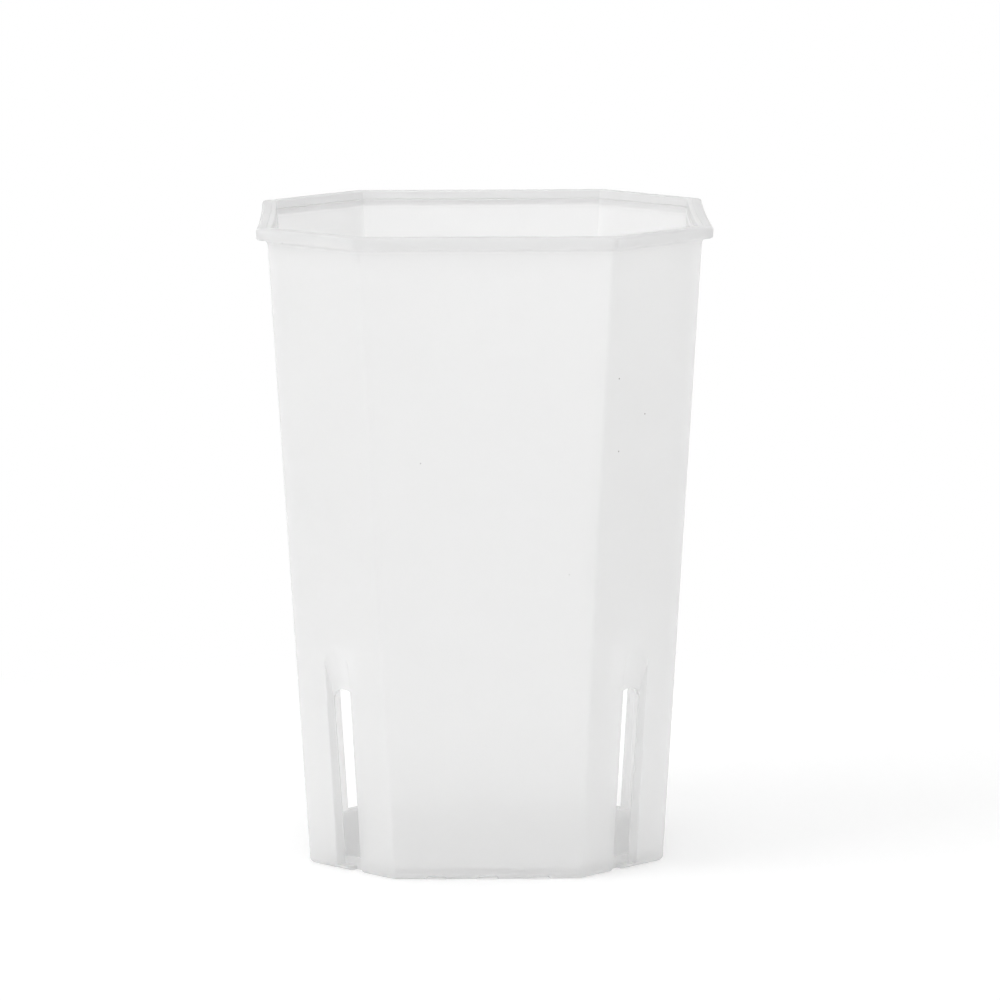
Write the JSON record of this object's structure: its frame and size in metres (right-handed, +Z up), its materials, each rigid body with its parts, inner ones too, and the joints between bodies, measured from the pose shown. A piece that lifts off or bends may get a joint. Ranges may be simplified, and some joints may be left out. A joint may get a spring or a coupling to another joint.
{
  "type": "orchid pot",
  "caption": "Tapered square orchid pot with cut corners, a flanged rim, and a recessed channel with a tall drainage slot in each corner.",
  "frame": {"origin": "middle of the foot, on the ground", "axes": "+Z up out of the mouth; the flat front side faces -Y and the flat right side faces +X"},
  "size_m": [0.09, 0.09, 0.129],
  "materials": {
    "frosted_plastic": "natural milky translucent moulded plastic, satin outside"
  },
  "bodies": {
    "root": {"front_wall": "frosted_plastic", "right_wall": "frosted_plastic", "back_wall": "frosted_plastic", "left_wall": "frosted_plastic", "front_right_corner_wall": "frosted_plastic", "back_right_corner_wall": "frosted_plastic", "back_left_corner_wall": "frosted_plastic", "front_left_corner_wall": "frosted_plastic", "front_right_slot_channel": "frosted_plastic", "back_right_slot_channel": "frosted_plastic", "back_left_slot_channel": "frosted_plastic", "front_left_slot_channel": "frosted_plastic", "rim_flange": "frosted_plastic", "floor_plate": "frosted_plastic", "foot_ring": "frosted_plastic"}
  },
  "joints": []
}
